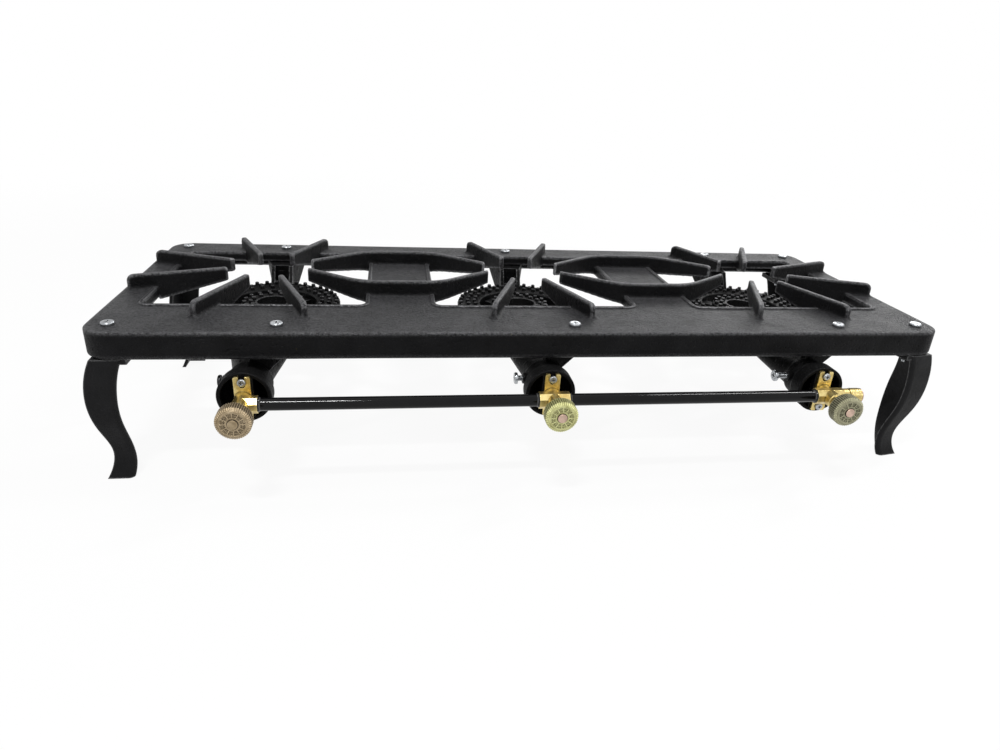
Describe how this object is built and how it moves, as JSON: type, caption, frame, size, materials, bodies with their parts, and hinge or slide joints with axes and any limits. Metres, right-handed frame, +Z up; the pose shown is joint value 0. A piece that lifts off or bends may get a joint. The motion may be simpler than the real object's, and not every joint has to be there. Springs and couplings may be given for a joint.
{
  "type": "outdoor gas stove",
  "caption": "Low outdoor gas stove with a cast-iron top plate on cabriole legs, ring burners under pot-support fins, and brass needle valves with knurled knobs on a front gas pipe.",
  "frame": {"origin": "on the floor under the middle of the whole stove, knobs included", "axes": "+X along the stove towards the gas inlet, +Y from the knobs to the back, +Z up"},
  "size_m": [0.9395, 0.4274, 0.1895],
  "materials": {
    "cast_iron_plate": "matte black stove paint over a fine cast texture",
    "cast_iron_burner": "matte black paint over a coarse cast texture",
    "cast_iron_cup": "matte black paint over a fine cast texture",
    "cast_iron_leg": "satin black paint over a fine cast texture",
    "zinc_screw": "bright zinc plate",
    "black_screw": "black oxide",
    "valve_brass": "machined brass",
    "seal_rubber": "soft black rubber",
    "rivet_copper": "dull pinkish copper",
    "knob_tan": "tan passivated zinc casting",
    "knob_yellow": "yellow passivated zinc casting",
    "knob_grey_green": "grey-green passivated zinc casting",
    "pipe_black": "gloss black paint"
  },
  "bodies": {
    "stove": {"frame_casting": "cast_iron_plate", "burner_left": "cast_iron_burner", "burner_middle": "cast_iron_burner", "burner_right": "cast_iron_burner", "air_cup_left": "cast_iron_cup", "air_cup_middle": "cast_iron_cup", "air_cup_right": "cast_iron_cup", "leg_front_left": "cast_iron_leg", "leg_front_right": "cast_iron_leg", "leg_back_left": "cast_iron_leg", "leg_back_right": "cast_iron_leg", "leg_screws": "zinc_screw", "burner_screws": "zinc_screw", "leg_spring_washers": "zinc_screw", "burner_spring_washers": "zinc_screw", "leg_nuts": "zinc_screw", "burner_nuts": "zinc_screw", "set_screw_left": "black_screw", "set_screw_middle": "zinc_screw", "set_screw_right": "zinc_screw", "valve_plate_screws": "zinc_screw", "valve_body_left": "valve_brass", "gland_nut_left": "valve_brass", "spindle_seal_left": "seal_rubber", "jet_left": "valve_brass", "valve_body_middle": "valve_brass", "gland_nut_middle": "valve_brass", "spindle_seal_middle": "seal_rubber", "jet_middle": "valve_brass", "valve_body_right": "valve_brass", "gland_nut_right": "valve_brass", "spindle_seal_right": "seal_rubber", "jet_right": "valve_brass", "gas_pipe_left": "pipe_black", "gas_pipe_right": "pipe_black", "gas_inlet_fitting": "valve_brass"},
    "spindle_left": {"needle_spindle_left": "valve_brass"},
    "knob_left": {"knob_left": "knob_tan", "knob_rivet_left": "rivet_copper"},
    "spindle_middle": {"needle_spindle_middle": "valve_brass"},
    "knob_middle": {"knob_middle": "knob_yellow", "knob_rivet_middle": "rivet_copper"},
    "spindle_right": {"needle_spindle_right": "valve_brass"},
    "knob_right": {"knob_right": "knob_grey_green", "knob_rivet_right": "rivet_copper"}
  },
  "joints": [
    {"name": "spindle_feed_left", "type": "slide", "parent": "stove", "child": "spindle_left", "axis": [0, -1, 0], "range_m": [0, 0.0015]},
    {"name": "knob_turn_left", "type": "hinge", "parent": "spindle_left", "child": "knob_left", "pos_m": [-0.311, -0.2058, 0.1105], "axis": [0, -1, 0], "range_deg": [0, 540]},
    {"name": "spindle_feed_middle", "type": "slide", "parent": "stove", "child": "spindle_middle", "axis": [0, -1, 0], "range_m": [0, 0.0015]},
    {"name": "knob_turn_middle", "type": "hinge", "parent": "spindle_middle", "child": "knob_middle", "pos_m": [0, -0.2058, 0.1105], "axis": [0, -1, 0], "range_deg": [0, 540]},
    {"name": "spindle_feed_right", "type": "slide", "parent": "stove", "child": "spindle_right", "axis": [0, -1, 0], "range_m": [0, 0.0015]},
    {"name": "knob_turn_right", "type": "hinge", "parent": "spindle_right", "child": "knob_right", "pos_m": [0.311, -0.2058, 0.1105], "axis": [0, -1, 0], "range_deg": [0, 540]}
  ],
  "couplings": [
    {"joint": "spindle_feed_left", "follows": "knob_turn_left", "m_per_rad": 0.00015915},
    {"joint": "spindle_feed_middle", "follows": "knob_turn_middle", "m_per_rad": 0.00015915},
    {"joint": "spindle_feed_right", "follows": "knob_turn_right", "m_per_rad": 0.00015915}
  ]
}
